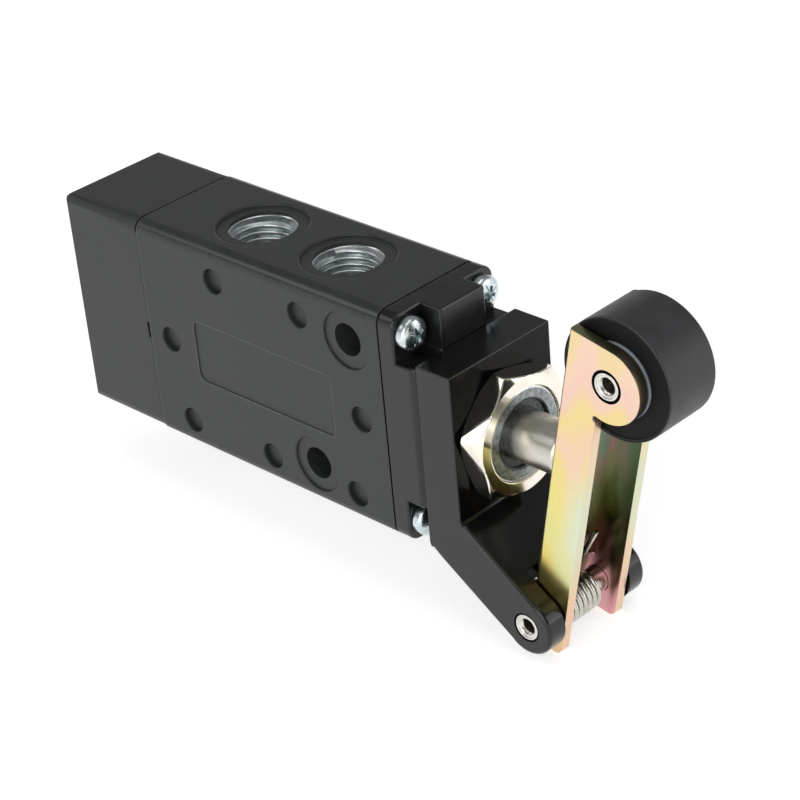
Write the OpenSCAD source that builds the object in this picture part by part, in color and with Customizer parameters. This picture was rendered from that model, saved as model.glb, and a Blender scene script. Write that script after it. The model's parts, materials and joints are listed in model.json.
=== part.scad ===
// Roller lever air valve: a five-port spool valve worked by a sprung roller lever.
// X runs along the spool axis towards the lever, Y across the body, Z up.
// Stations along X are counted from the rear end, heights from the underside of the body.
// The finished part has its origin on the lower fixing hole, at the middle of the body's width.

/* [Body] */
// Width of the body, cover and bracket
body_w = 26; // [24:0.5:30]
// Height of the body
body_h = 46.1; // [44:0.1:50]
// Length of the housing between the rear cap and the front cover
housing_len = 63.8; // [58:0.1:72]
// Length of the rear cap
cap_len = 21.2; // [19.5:0.1:26]
// Radius of the long edges
edge_r = 2.6; // [1:0.1:3]
// How far the rear cap stands inside the housing's outline
cap_step = 0.15; // [0:0.05:0.4]
// Wall at the rear end of the cap
cap_wall = 3; // [2:0.1:4]
// Radius of the edges at the rear end
cap_end_r = 1.3; // [0.5:0.1:2]
// Length of the pry slot at the rear cap's joint
pry_l = 3; // [2:0.1:5]
// Width and depth of the pry slot
pry_w = 0.6; // [0.4:0.1:1.2]

/* [Ports] */
// Bore of the port inserts before threading
port_bore_d = 11.44; // [10:0.02:12]
// Outside diameter of the port inserts
insert_d = 14.4; // [13.6:0.1:15]
// Thickness of the moulding between an insert and the spool bore
insert_floor = 1.35; // [0.8:0.05:4]
// Diameter of the hole in the moulded lip over each insert
port_mouth_d = 13.2; // [12.4:0.1:13.6]
// Thickness of that lip
port_lip = 0.6; // [0.4:0.1:1]
// Diameter of the flat round each port
spot_d = 17.8; // [16:0.1:19]
// Depth of the flat round each port
spot_depth = 0.5; // [0.3:0.1:1.5]
// Diameter of the passage from a port to the spool bore
passage_d = 7; // [5:0.1:9]

/* [Fixing holes] */
// Diameter of the two fixing holes
fix_d = 6.4; // [5:0.1:6.6]
// Height of the lower fixing hole
fix_low_z = 8.5; // [7:0.1:9]
// Distance of the upper fixing hole below the top
fix_up_drop = 8.1; // [7.2:0.1:8.5]
// Diameter of the dish round a fixing hole
dish_d = 11.2; // [9:0.1:12]
// Depth of the dish round a fixing hole
dish_depth = 0.5; // [0.2:0.1:1]

/* [Side marks] */
// Diameter of the blind dimples beside the ports
dimple_d = 5; // [3:0.1:6]
// Depth of the dimples
dimple_depth = 1.2; // [0.4:0.1:1.5]
// Height of the lower dimples above the underside
dimple_z = 5.8; // [4:0.1:6]
// How far the dimples sit behind the ports
dimple_shift = 1; // [0:0.1:2]
// Distance of the two middle dimples from the ends of the housing
dimple_end = 6.3; // [4:0.1:8]
// Length of the label recess
label_l = 36.7; // [20:0.1:40]
// Height of the label recess
label_h = 12.7; // [8:0.1:14]
// Depth of the label recess
label_depth = 0.3; // [0.1:0.05:0.6]
// Corner radius of the label recess
label_r = 1.6; // [0.5:0.1:3]
// How far the label and the dimples sit below the spool axis
label_drop = 0.5; // [0:0.1:1.5]

/* [Front cover] */
// Thickness of the cover's flange
cover_flange = 3.7; // [3.6:0.1:6]
// Thickness of the raised block in front of the flange
cover_block = 4.8; // [3.5:0.1:7]
// Width of a screw pocket
pocket_w = 7.3; // [7:0.1:8]
// Height of a screw pocket
pocket_h = 8.9; // [7.9:0.1:9.4]
// Radius in the inner corner of a screw pocket
pocket_r = 1.5; // [0.5:0.1:2]
// Radius of the upright edges at the front of the block
block_r = 1.8; // [0.5:0.1:2.4]

/* [Screws] */
// Shank diameter of the end screws
screw_d = 3.2; // [2.5:0.1:3.4]
// Head diameter of the end screws
head_d = 6.3; // [5.5:0.1:7]
// Head height of the end screws
head_h = 2.6; // [2:0.1:3]
// Distance of the cover's screws from the sides
screw_side = 3.7; // [3.4:0.05:3.7]
// Distance of the cover's screws from the top and the underside
screw_drop = 4.1; // [3.5:0.05:4.2]
// Distance of the rear cap's screws from the sides
cap_screw_side = 4.5; // [4.3:0.05:5]
// Distance of the rear cap's screws from the top and the underside
cap_screw_drop = 4.75; // [4.3:0.05:5.4]
// Depth that a screw reaches into the housing
screw_grip = 5.2; // [3.5:0.1:5.4]
// Clearance of a screw in the end pieces
screw_clear = 0.2; // [0.1:0.05:0.4]

/* [Bush and nut] */
// Distance from the guide bush's thread to the body's sides
bush_side = 4; // [3:0.1:4.4]
// How far the bush's flange behind the cover stands out from its thread
bush_rim = 1.8; // [1.2:0.1:2]
// Thickness of the bush's flange
bush_flange = 3.2; // [2:0.1:3.4]
// How far the bush's face lies behind the nut's face
bush_set_back = 0.3; // [0:0.1:1]
// Radial width of the recess round the plunger
bush_recess_w = 1.5; // [0.8:0.1:2]
// Depth of that recess
bush_recess_depth = 0.6; // [0.5:0.1:2]
// Wall of the lock nut at its flats
nut_wall = 2.2; // [1.4:0.1:2.4]
// Thickness of the lock nut
nut_t = 4.9; // [4:0.1:7]
// Angle of the lock nut's first corner
nut_turn = 46; // [0:1:60]

/* [Plunger and spool] */
// Diameter of the plunger
plunger_d = 9.6; // [8.6:0.1:10]
// Radius of the plunger's domed tip
tip_r = 5.6; // [5.4:0.1:9]
// Diameter of the plunger's retaining collar
collar_d = 12.4; // [11.6:0.1:12.8]
// Thickness of the collar
collar_t = 1.8; // [1:0.1:2.5]
// Diameter of the spool's lands
land_d = 11; // [10:0.1:11.4]
// Diameter of the spool's necks
neck_d = 6.6; // [5:0.1:8]
// Width of a spool seal
seal_w = 2; // [1.4:0.1:2.4]
// Distance from the housing's rear face to the middle of the first spool seal
seal_first = 5; // [4:0.1:6]
// Distance from the middle of the last spool seal to the housing's front face
seal_last = 2.6; // [2.2:0.1:3]
// Bore of the housing that takes the seals
bore_d = 17; // [16:0.1:17.6]
// Bore of the spacers between the seals
spacer_bore_d = 13; // [12:0.1:14]
// Diameter of the windows in a spacer
window_d = 3.6; // [2:0.1:4.4]
// Number of windows in a spacer
window_count = 8; // [4:1:8]
// Radial clearance of sliding and turning fits
running = 0.05; // [0.02:0.01:0.09]
// Radial clearance of pieces that are pushed in by hand
slip = 0.1; // [0.05:0.05:0.2]
// Gap between pieces that meet end to end and move apart
end_gap = 0.05; // [0.02:0.01:0.2]

/* [Bracket] */
// Thickness of the bracket's plate
plate_t = 8; // [6:0.1:10]
// Height of the plate's top edge above the underside
plate_top = 38.4; // [35:0.1:40]
// Distance of the lever's pivot in front of the plate
pivot_out = 14.2; // [13.5:0.1:18]
// Distance of the lever's pivot below the spool axis
pivot_below = 29.8; // [28:0.1:34]
// Angle of the leg below the horizontal
leg_angle = 33.5; // [30:0.5:38]
// Radius of the bosses and half the depth of the leg
boss_r = 5.5; // [5:0.1:6]
// Radius of the knee below the plate
knee_r = 2.6; // [1:0.1:4]
// Radius in the corner between plate and leg
crook_r = 1.2; // [0.5:0.1:3]
// How far the bosses stand out from the leg
boss_step = 0.15; // [0.1:0.05:0.4]
// Distance from the pivot back to the end of the fork's slot
fork_depth = 7.4; // [7.2:0.1:11]
// Gap between the lever and each side of the fork
fork_gap = 0.4; // [0.3:0.05:0.8]

/* [Lever] */
// Lean of the lever from upright, at rest
lever_tilt = 11.5; // [10:0.5:14]
// How far the lever turns when it is pressed
lever_turn = 9; // [6:0.5:9]
// Thickness of the lever's sheet
sheet_t = 2.2; // [1.5:0.1:2.4]
// Width inside the lever's channel
channel_w = 12.6; // [12.5:0.1:13.2]
// Distance from the pivot back to the outside of the web
web_back = 2.8; // [2.1:0.1:3]
// Depth of the channel's sides
flange_depth = 7.7; // [6:0.1:8]
// Outside radius of the channel's bends
bend_r = 0.8; // [0.8:0.1:3]
// Inside radius of the channel's bends
crease_r = 0.4; // [0.2:0.1:1]
// Distance from the pivot up to the roller pin
arm_len = 54.3; // [52:0.1:60]
// Distance of the roller pin in front of the pivot
pin_lead = 6.1; // [5:0.1:8]
// Radius of the ears round the roller pin
ear_r = 6.9; // [5:0.1:7.5]
// Radius of the cheeks behind the pivot
cheek_r = 6.3; // [5:0.1:6.8]
// Radius of the lower front corners of the cheeks
toe_r = 1.5; // [0.5:0.1:2]
// Height of the web's lower edge above the pivot
web_low = 6.2; // [5.8:0.1:8]
// Radius in the corners below the web
web_arc_r = 1.8; // [0.8:0.1:3]
// Width of the slot that lets the spring's arm through the web
web_slot_w = 2.6; // [2.2:0.1:4]
// Depth of the web's slot
web_slot_len = 5.6; // [5.3:0.1:6]
// Radius of the notch under each ear
notch_r = 0.6; // [0.6:0.1:1.5]
// Depth of the notch behind the channel's front edge
notch_in = 0.6; // [0.6:0.1:1.8]

/* [Roller] */
// Diameter of the roller
roller_d = 22.4; // [20:0.1:24]
// Width of the roller's tyre
roller_w = 11.8; // [10:0.1:11.9]
// Diameter of the roller's hub
hub_d = 14; // [13:0.1:17]
// Radius of the tyre's edges
tyre_edge_r = 0.4; // [0.4:0.1:1.5]
// Depth of the hollow in each side of the tyre
tyre_dish = 0.3; // [0.3:0.1:1.2]
// Width of the lip that the hollow leaves at the tyre's edge
tyre_lip = 0.4; // [0.3:0.1:1.6]
// Gap between the roller and the upper edge of the lever's web
web_gap = 0.6; // [0.4:0.1:2]
// Gap between the roller and the ears
roller_gap = 0.3; // [0.2:0.05:0.4]

/* [Pins] */
// Diameter of the pivot pin and the roller pin
pin_d = 5; // [4:0.1:5.2]
// Bore of the hollow pins
pin_bore_d = 2.7; // [1.5:0.1:3.2]
// Diameter of the countersink round a pin's end
pin_sink_d = 6; // [5.6:0.1:7]
// Depth of that countersink
pin_sink_depth = 0.5; // [0.2:0.05:0.8]

/* [Springs] */
// Wire diameter of the lever's torsion spring
arm_wire = 1.1; // [0.8:0.05:1.2]
// Mean diameter of the torsion spring's coil
arm_coil_d = 7; // [6.8:0.1:7.4]
// Number of turns of the torsion spring
arm_turns = 7; // [5:1:7]
// Height at which the torsion spring's arm leans on the web
arm_reach = 13; // [12.5:0.1:16]
// Wire diameter of the return spring
return_wire = 1.2; // [0.8:0.05:1.4]
// Mean diameter of the return spring
return_coil_d = 10; // [9.6:0.1:10.4]
// Number of turns of the return spring
return_turns = 7; // [5:1:8]
// Diameter of the chamber round the return spring
chamber_d = 12.8; // [12.4:0.1:13.4]
// Diameter of the cup's pilot inside the return spring
pilot_d = 7.8; // [6:0.1:8]

/* [Hidden] */
$fn = 48;
over = 1;
wire_sides = 8;
turn_steps = 18;
arc_steps = 6;
// Gap between moving pieces that don't guide each other
apart = 0.3;

x_housing = cap_len;
x_cover = x_housing + housing_len;
x_pocket = x_cover + cover_flange;
x_bracket = x_pocket + cover_block;
x_plate = x_bracket + plate_t;
x_nut_face = x_plate + nut_t;
x_bush_face = x_nut_face - bush_set_back;
axis_z = body_h / 2;
side_y = body_w / 2;
bush_d = body_w - 2 * bush_side;
bush_flange_d = bush_d + 2 * bush_rim;
nut_af = bush_d + 2 * nut_wall;
port_count = 5;

// The seals share out the housing's length, and each port opens half way between two of them
port_step = (housing_len - seal_first - seal_last) / port_count;
function seal_x(i) = x_housing + seal_first + i * port_step;
function port_x(i) = seal_x(i) + port_step / 2;
// Even ports open below, odd ones above
function port_is_low(i) = i % 2 == 0;

insert_seat = spot_depth + port_lip;
insert_len = axis_z - bore_d / 2 - insert_floor - insert_seat;
fix_low_x = port_x(3);
fix_up_x = port_x(4);
fix_up_z = body_h - fix_up_drop;

pivot_x = x_plate + pivot_out;
pivot_z = axis_z - pivot_below;
lever_out_w = channel_w + 2 * sheet_t;
channel_front = flange_depth - web_back;
fork_w = lever_out_w + 2 * fork_gap;
lever_top = arm_len + ear_r;
roller_clear = roller_d / 2 + web_gap;

// The domed tip stays in touch with the tilted web, so its centre follows from the lever's angle
function tip_centre_x(lean) = pivot_x + pivot_below * tan(lean) - (web_back + tip_r) / cos(lean);
x_tip_centre = tip_centre_x(lever_tilt) - end_gap;
stroke = tip_centre_x(lever_tilt) - tip_centre_x(lever_tilt - lever_turn);

// The spool's front end lies far enough forward to keep the last seal covered when pressed
land_margin = 2.2;
x_spool_front = seal_x(port_count) + stroke + land_margin;
spool_tail = 1.6;
x_spool_rear = seal_x(0) - land_margin - spool_tail;
x_collar = x_spool_front;
bush_counter_d = collar_d + 2 * apart;
x_bush_counter = x_collar + collar_t + apart;
wiper_w = 2;
wiper_wall = 1.6;
wiper_cover = 2.6;
wiper_x = x_bush_face - bush_recess_depth - wiper_cover - wiper_w;
wiper_d = plunger_d + 2 * wiper_wall;

// The end pieces' spigots hold the row of seals between them
cap_spigot = seal_x(0) - seal_w / 2 - x_housing - slip;
bush_spigot = x_cover - seal_x(port_count) - seal_w / 2 - slip;
head_sink = 0.6;
head_seat = head_h + head_sink;
cup_flange = 2;
cup_d = chamber_d - 2 * apart;
pilot_len = 6;

hub_w = channel_w - 2 * roller_gap;

// The torsion spring's coil sits a little towards the near cheek
coil_gap = 0.1;
arm_pitch = arm_wire + coil_gap;
coil_offset = 1;
coil_start_y = -coil_offset - arm_turns * arm_pitch / 2;
coil_end_y = -coil_offset + arm_turns * arm_pitch / 2;
anchor_depth = 3;

// Sets a piece's colour and moves it from the body's stations to the part's own origin
module made(c) {
    color(c) translate([-fix_low_x, 0, -fix_low_z]) children();
}

// Round bar along X on the spool axis
module rod_x(d, x0, x1) {
    translate([x0, 0, axis_z]) rotate([0, 90, 0]) cylinder(d = d, h = x1 - x0);
}

// Round bar along Y
module rod_y(d, y0, y1) {
    translate([0, y0, 0]) rotate([-90, 0, 0]) cylinder(d = d, h = y1 - y0);
}

// Section drawn in Y and Z, carried along X
module along_x(x0, x1) {
    translate([x0, 0, 0]) rotate([90, 0, 90]) linear_extrude(x1 - x0) children();
}

// Outline drawn in X and Z, carried along Y
module along_y(y0, y1) {
    translate([0, y1, 0]) rotate([90, 0, 0]) linear_extrude(y1 - y0) children();
}

module rounded_rect(w, h, r) {
    square([w - 2 * r, h], center = true);
    square([w, h - 2 * r], center = true);
    for (sx = [-1, 1], sy = [-1, 1])
        translate([sx * (w / 2 - r), sy * (h / 2 - r)]) circle(r);
}

// Outer block of the rear cap: rounded long edges, and rounded edges at the rear end
module cap_block() {
    w = body_w - 2 * cap_step;
    h = body_h - 2 * cap_step;
    intersection() {
        along_x(0, x_housing) translate([0, axis_z]) rounded_rect(w, h, edge_r);
        along_y(-w, w) translate([cap_len, axis_z]) rounded_rect(2 * cap_len, h, cap_end_r);
        linear_extrude(body_h) translate([cap_len, 0]) rounded_rect(2 * cap_len, w, cap_end_r);
    }
}

// Copies a piece to four screw positions round the spool axis
module at_corners(y, z) {
    for (sy = [-1, 1], sz = [-1, 1])
        translate([0, sy * y, sz * z]) children();
}

module at_cover_screws() {
    at_corners(side_y - screw_side, axis_z - screw_drop) children();
}

module at_cap_screws() {
    at_corners(side_y - cap_screw_side, axis_z - cap_screw_drop) children();
}

// Lever frame: X forward from the pivot, Z up along the lever
module in_lever() {
    translate([pivot_x, 0, pivot_z]) rotate([0, lever_tilt, 0]) children();
}

// Leg frame: X from the pivot back towards the plate, Z square to the leg
module in_leg() {
    translate([pivot_x, 0, pivot_z]) rotate([0, leg_angle, 0]) mirror([1, 0, 0]) children();
}

module housing() {
    made("#4a4d4b") difference() {
        along_x(x_housing, x_cover) translate([0, axis_z]) rounded_rect(body_w, body_h, edge_r);
        rod_x(bore_d, x_housing - over, x_cover + over);
        for (i = [0 : port_count - 1]) port_cut(i);
        fixing_cut(fix_low_x, fix_low_z);
        fixing_cut(fix_up_x, fix_up_z);
        side_marks();
        at_cover_screws() rod_x(screw_d, x_cover - screw_grip - end_gap, x_cover + over);
        at_cap_screws() rod_x(screw_d, x_housing - over, x_housing + screw_grip + end_gap);
    }
}

// Places a port's own axis on Z, running inwards from the outer face at zero
module at_port(i) {
    if (port_is_low(i)) translate([port_x(i), 0, 0]) children();
    else translate([port_x(i), 0, body_h]) mirror([0, 0, 1]) children();
}

module port_cut(i) {
    at_port(i) {
        translate([0, 0, -over]) cylinder(d = spot_d, h = spot_depth + over);
        cylinder(d = port_mouth_d, h = insert_seat + over);
        translate([0, 0, insert_seat]) cylinder(d = insert_d, h = insert_len);
        cylinder(d = passage_d, h = axis_z);
    }
}

module fixing_cut(x, z) {
    translate([x, 0, z]) {
        rod_y(fix_d, -side_y - over, side_y + over);
        rod_y(dish_d, -side_y - over, -side_y + dish_depth);
        rod_y(dish_d, side_y - dish_depth, side_y + over);
    }
}

module side_marks() {
    mark_z = axis_z - label_drop;
    high_z = 2 * mark_z - dimple_z;
    for (i = [0 : port_count - 1])
        dimple(port_x(i) - dimple_shift, port_is_low(i) ? dimple_z : high_z);
    dimple(x_housing + dimple_end, mark_z);
    dimple(x_cover - dimple_end, mark_z);
    along_y(-side_y - over, -side_y + label_depth)
        translate([x_housing + housing_len / 2, mark_z]) rounded_rect(label_l, label_h, label_r);
}

module dimple(x, z) {
    translate([x, 0, z]) rod_y(dimple_d, -side_y - over, -side_y + dimple_depth);
}

module rear_cap() {
    made("#3f4240") difference() {
        union() {
            cap_block();
            rod_x(bore_d - 2 * slip, x_housing - over, x_housing + cap_spigot);
        }
        rod_x(chamber_d, cap_wall, x_housing + cap_spigot + over);
        translate([x_housing - pry_w, -side_y, axis_z - label_drop - pry_l / 2])
            cube([pry_w, pry_w + cap_step, pry_l]);
        at_cap_screws() {
            rod_x(screw_d + 2 * screw_clear, -over, x_housing + over);
            rod_x(head_d + 2 * screw_clear, -over, head_seat);
        }
    }
}

module front_cover() {
    made("#2b2d2c") difference() {
        intersection() {
            along_x(x_cover, x_bracket) translate([0, axis_z]) rounded_rect(body_w, body_h, edge_r);
            linear_extrude(body_h) translate([x_cover, 0])
                rounded_rect(2 * (x_bracket - x_cover), body_w, block_r);
        }
        for (sz = [-1, 1], sy = [-1, 1]) screw_pocket(sy, sz);
        at_cover_screws() rod_x(screw_d + 2 * screw_clear, x_cover - over, x_bracket);
        rod_x(bush_d, x_cover - over, x_bracket + over);
        rod_x(bush_flange_d + 2 * slip, x_cover - over, x_cover + bush_flange + end_gap);
    }
}

// Open corner of the front cover, with a rounded inner corner
module screw_pocket(sy, sz) {
    deep = pocket_w + over;
    high = pocket_h + over;
    translate([0, 0, axis_z]) along_x(x_pocket, x_bracket + over)
        mirror([sy < 0 ? 1 : 0, 0]) mirror([0, sz < 0 ? 1 : 0])
            translate([side_y - pocket_w, body_h / 2 - pocket_h]) {
                translate([pocket_r, 0]) square([deep - pocket_r, high]);
                translate([0, pocket_r]) square([deep, high - pocket_r]);
                translate([pocket_r, pocket_r]) circle(pocket_r);
            }
}

// Pan head and plain shank, seated at x; facing is 1 for a head at the front and -1 for one at the rear
module end_screw(x, shank, facing) {
    translate([x, 0, axis_z]) rotate([0, 90 * facing, 0]) {
        rotate_extrude() pan_head();
        translate([0, 0, -shank]) cylinder(d = screw_d, h = shank + head_h / 4);
    }
}

// Half outline of a pan head with a domed top
module pan_head() {
    crown_r = head_d;
    intersection() {
        square([head_d / 2, head_h]);
        translate([0, head_h - crown_r]) circle(crown_r);
    }
}

module cover_screws() {
    made("#c9d2d6") at_cover_screws() end_screw(x_pocket, cover_flange + screw_grip, 1);
}

module cap_screws() {
    made("#c9d2d6") at_cap_screws() end_screw(head_seat, cap_len - head_seat + screw_grip, -1);
}

module port_insert(i) {
    made("#b9bbb6") at_port(i) translate([0, 0, insert_seat]) difference() {
        cylinder(d = insert_d, h = insert_len);
        translate([0, 0, -over]) cylinder(d = port_bore_d, h = insert_len + 2 * over);
    }
}

module spool_seal(i) {
    made("#1c1c1c") translate([seal_x(i), 0, axis_z]) rotate([0, 90, 0])
        rotate_extrude() seal_section(land_d / 2 + running, bore_d / 2);
}

// Ring section with a rounded lip towards the spool
module seal_section(r_in, r_out) {
    lip = seal_w / 2;
    translate([r_in + lip, 0]) circle(lip);
    translate([r_in + lip, -seal_w / 2]) square([r_out - r_in - lip, seal_w]);
}

module seal_spacer(i) {
    half = (port_step - seal_w) / 2;
    made("#d8d2c0") difference() {
        rod_x(bore_d - 2 * slip, port_x(i) - half, port_x(i) + half);
        rod_x(spacer_bore_d, port_x(i) - half - over, port_x(i) + half + over);
        for (k = [0 : window_count - 1])
            translate([port_x(i), 0, axis_z]) rotate([k * 360 / window_count, 0, 0])
                translate([0, 0, spacer_bore_d / 2 - over]) cylinder(d = window_d, h = bore_d / 2);
    }
}

// Lands are placed by the seals they cover at rest and when the spool is pushed in by its stroke
module spool() {
    lands = [
        [x_spool_rear, seal_x(0) + stroke + land_margin],
        [seal_x(1) - land_margin, seal_x(1) + land_margin],
        [seal_x(2) + stroke - land_margin, seal_x(3) + land_margin],
        [seal_x(4) + stroke - land_margin, seal_x(4) + stroke + land_margin],
        [seal_x(5) - land_margin, x_spool_front]
    ];
    made("#aeb4b8") {
        rod_x(neck_d, x_spool_rear, x_spool_front);
        for (land = lands) rod_x(land_d, land[0], land[1]);
    }
}

module spring_cup() {
    made("#d9d9d4") {
        rod_x(cup_d, x_spool_rear - cup_flange, x_spool_rear);
        rod_x(pilot_d, x_spool_rear - cup_flange - pilot_len, x_spool_rear - over);
    }
}

module plunger() {
    made("#c4c6c8") translate([x_collar, 0, axis_z]) rotate([0, 90, 0]) rotate_extrude() {
        square([collar_d / 2, collar_t]);
        square([plunger_d / 2, x_tip_centre - x_collar]);
        translate([0, x_tip_centre - x_collar]) intersection() {
            circle(tip_r);
            square([plunger_d / 2, tip_r]);
        }
    }
}

module guide_bush() {
    made("#a9adae") difference() {
        union() {
            rod_x(bush_d, x_cover + bush_flange, x_bush_face);
            rod_x(bush_flange_d, x_cover, x_cover + bush_flange);
            rod_x(bore_d - 2 * slip, x_cover - bush_spigot, x_cover + bush_flange);
        }
        rod_x(plunger_d + 2 * running, x_cover, x_bush_face + over);
        rod_x(bush_counter_d, x_cover - bush_spigot - over, x_bush_counter);
        rod_x(plunger_d + 2 * bush_recess_w, x_bush_face - bush_recess_depth, x_bush_face + over);
        rod_x(wiper_d, wiper_x, wiper_x + wiper_w);
    }
}

module wiper_seal() {
    made("#1c1c1c") difference() {
        rod_x(wiper_d, wiper_x, wiper_x + wiper_w);
        rod_x(plunger_d + 2 * running, wiper_x - over, wiper_x + wiper_w + over);
    }
}

// Hexagon whose corners are cut by a cone at each face
module lock_nut() {
    corner_d = nut_af / cos(30);
    cut = (corner_d - nut_af) / 2 * tan(30);
    made("#d6d2c4") difference() {
        intersection() {
            translate([x_plate, 0, axis_z]) rotate([nut_turn, 0, 0]) rotate([0, 90, 0])
                rotate([0, 0, 90]) cylinder(d = corner_d, h = nut_t, $fn = 6);
            translate([x_plate, 0, axis_z]) rotate([0, 90, 0]) rotate_extrude() polygon([
                [0, 0], [nut_af / 2, 0], [corner_d / 2, cut],
                [corner_d / 2, nut_t - cut], [nut_af / 2, nut_t], [0, nut_t]
            ]);
        }
        rod_x(bush_d, x_plate - over, x_nut_face + over);
    }
}

// Points along an arc round c from angle a0 to angle a1
function arc(c, r, a0, a1) = [for (i = [0 : arc_steps]) let (a = a0 + (a1 - a0) * i / arc_steps)
    c + r * [cos(a), sin(a)]];

// Side outline of the bracket: upright plate, rounded knee, slanting leg and rounded crook
module bracket_outline() {
    slope = tan(leg_angle);
    half = boss_r - boss_step;
    low = pivot_z + (pivot_x - x_bracket) * slope - half / cos(leg_angle);
    high = pivot_z + (pivot_x - x_plate) * slope + half / cos(leg_angle);
    knee = [x_bracket + knee_r, low - knee_r * slope + knee_r / cos(leg_angle)];
    crook = [x_plate + crook_r, high + crook_r * tan((90 - leg_angle) / 2)];
    pivot = [pivot_x, pivot_z];
    square_to_leg = [sin(leg_angle), cos(leg_angle)];
    polygon(concat(
        [[x_bracket, plate_top], [x_plate, plate_top]],
        arc(crook, crook_r, 180, 270 - leg_angle),
        [pivot + half * square_to_leg, pivot - half * square_to_leg],
        arc(knee, knee_r, 270 - leg_angle, 180)
    ));
}

module bracket() {
    made("#2b2d2c") difference() {
        union() {
            along_y(-side_y, side_y) bracket_outline();
            translate([pivot_x, 0, pivot_z]) rod_y(2 * boss_r, -side_y, side_y);
        }
        rod_x(bush_d, x_bracket - over, x_plate + over);
        in_leg() translate([-2 * boss_r, -fork_w / 2, -2 * boss_r])
            cube([fork_depth + 2 * boss_r, fork_w, 4 * boss_r]);
        translate([pivot_x, 0, pivot_z]) rod_y(pin_d, -side_y - over, side_y + over);
        spring_anchor();
    }
}

// Blind hole in the end of the fork's slot for the spring's lower arm
module spring_anchor() {
    in_leg() translate([fork_depth - over, coil_start_y, arm_coil_d / 2]) rotate([0, 90, 0])
        cylinder(d = arm_wire + 2 * slip, h = anchor_depth + over);
}

module pivot_pin() {
    made("#c4c6c8") translate([pivot_x, 0, pivot_z]) hollow_pin(body_w - 2 * end_gap);
}

module roller_pin() {
    made("#c4c6c8") in_lever() translate([pin_lead, 0, arm_len]) hollow_pin(lever_out_w);
}

module hollow_pin(length) {
    difference() {
        rod_y(pin_d, -length / 2, length / 2);
        rod_y(pin_bore_d, -length / 2 - over, length / 2 + over);
    }
}

// One side of the lever: the channel's side, the ear round the roller pin and the cheek round the pivot
module lever_side() {
    difference() {
        union() {
            translate([bend_r - web_back, web_low]) square([flange_depth - bend_r, arm_len - web_low]);
            translate([bend_r - web_back, arm_len]) square([pin_lead + web_back - bend_r, ear_r]);
            translate([pin_lead, arm_len]) circle(ear_r);
            lever_cheek();
        }
        ear_notch();
    }
}

// Lower end of a lever side: round behind the pivot, straight in front with a rounded lower corner
module lever_cheek() {
    intersection() {
        circle(cheek_r);
        translate([-cheek_r, -cheek_r]) square([cheek_r + over, 2 * cheek_r]);
    }
    high = web_low + cheek_r;
    translate([0, -cheek_r]) intersection() {
        square([channel_front, high + over]);
        translate([0, high]) rounded_rect(2 * channel_front, 2 * high, toe_r);
    }
}

// Relief under the ear, where it springs forward from the channel's side
module ear_notch() {
    z = arm_len - sqrt(pow(ear_r + notch_r, 2) - pow(pin_lead - channel_front + notch_in - notch_r, 2));
    translate([channel_front - notch_in + notch_r, z]) {
        circle(notch_r);
        translate([0, -notch_r]) square([ear_r, notch_r]);
    }
}

// Section of the web and its bends, drawn with X forward and Y across
module channel_section() {
    deep = flange_depth;
    difference() {
        translate([deep - web_back, 0]) rounded_rect(2 * deep, lever_out_w, bend_r);
        translate([deep - web_back + sheet_t, 0]) rounded_rect(2 * deep, channel_w, crease_r);
        translate([bend_r - web_back + over, -lever_out_w]) square(2 * lever_out_w);
    }
}

module lever() {
    made("#d9c58f") in_lever() difference() {
        union() {
            for (y = [-lever_out_w / 2, channel_w / 2])
                along_y(y, y + sheet_t) lever_side();
            translate([0, 0, web_low - web_arc_r])
                linear_extrude(lever_top - web_low + web_arc_r) channel_section();
        }
        translate([-web_back - over, -channel_w / 2, arm_len - roller_clear])
            cube([flange_depth, channel_w, lever_top]);
        along_x(-web_back - over, -web_back + sheet_t + over)
            translate([0, web_low - cheek_r]) rounded_rect(channel_w, 2 * cheek_r, web_arc_r);
        translate([-web_back - over, coil_end_y - web_slot_w / 2, 0])
            cube([sheet_t + 2 * over, web_slot_w, web_low + web_slot_len]);
        rod_y(pin_d + 2 * running, -lever_out_w, lever_out_w);
        translate([pin_lead, 0, arm_len]) {
            rod_y(pin_d, -lever_out_w, lever_out_w);
            rod_y(pin_sink_d, -lever_out_w, pin_sink_depth - lever_out_w / 2);
            rod_y(pin_sink_d, lever_out_w / 2 - pin_sink_depth, lever_out_w);
        }
    }
}

module roller_hub() {
    made("#7d8286") in_lever() translate([pin_lead, 0, arm_len]) difference() {
        rod_y(hub_d, -hub_w / 2, hub_w / 2);
        rod_y(pin_d + 2 * running, -hub_w, hub_w);
    }
}

module roller_tyre() {
    made("#2f3032") in_lever() translate([pin_lead, 0, arm_len]) rotate([90, 0, 0])
        rotate_extrude() tyre_section();
}

// Half section of the tyre, with rounded edges and a hollow in each side
module tyre_section() {
    r_out = roller_d / 2;
    wall = r_out - hub_d / 2;
    difference() {
        translate([hub_d / 2, 0]) intersection() {
            translate([0, -roller_w / 2]) square([wall, roller_w]);
            translate([-wall, 0]) rounded_rect(4 * wall, roller_w, tyre_edge_r);
        }
        for (s = [-1, 1])
            translate([hub_d / 2, s * roller_w / 2])
                square([2 * (wall - tyre_lip - tyre_edge_r / 2), 2 * tyre_dish], center = true);
    }
}

function unit(v) = v / norm(v);

// Direction of a path at point i, from its neighbours
function path_dir(path, i) =
    unit(path[min(i + 1, len(path) - 1)] - path[max(i - 1, 0)]);

// Ring of points round a path's point, square to the path
function wire_ring(p, dir, axis, r) = let (
    n = unit(cross(axis, dir)),
    b = cross(dir, n)
) [for (k = [0 : wire_sides - 1]) p + r * (cos(k * 360 / wire_sides) * n + sin(k * 360 / wire_sides) * b)];

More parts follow.
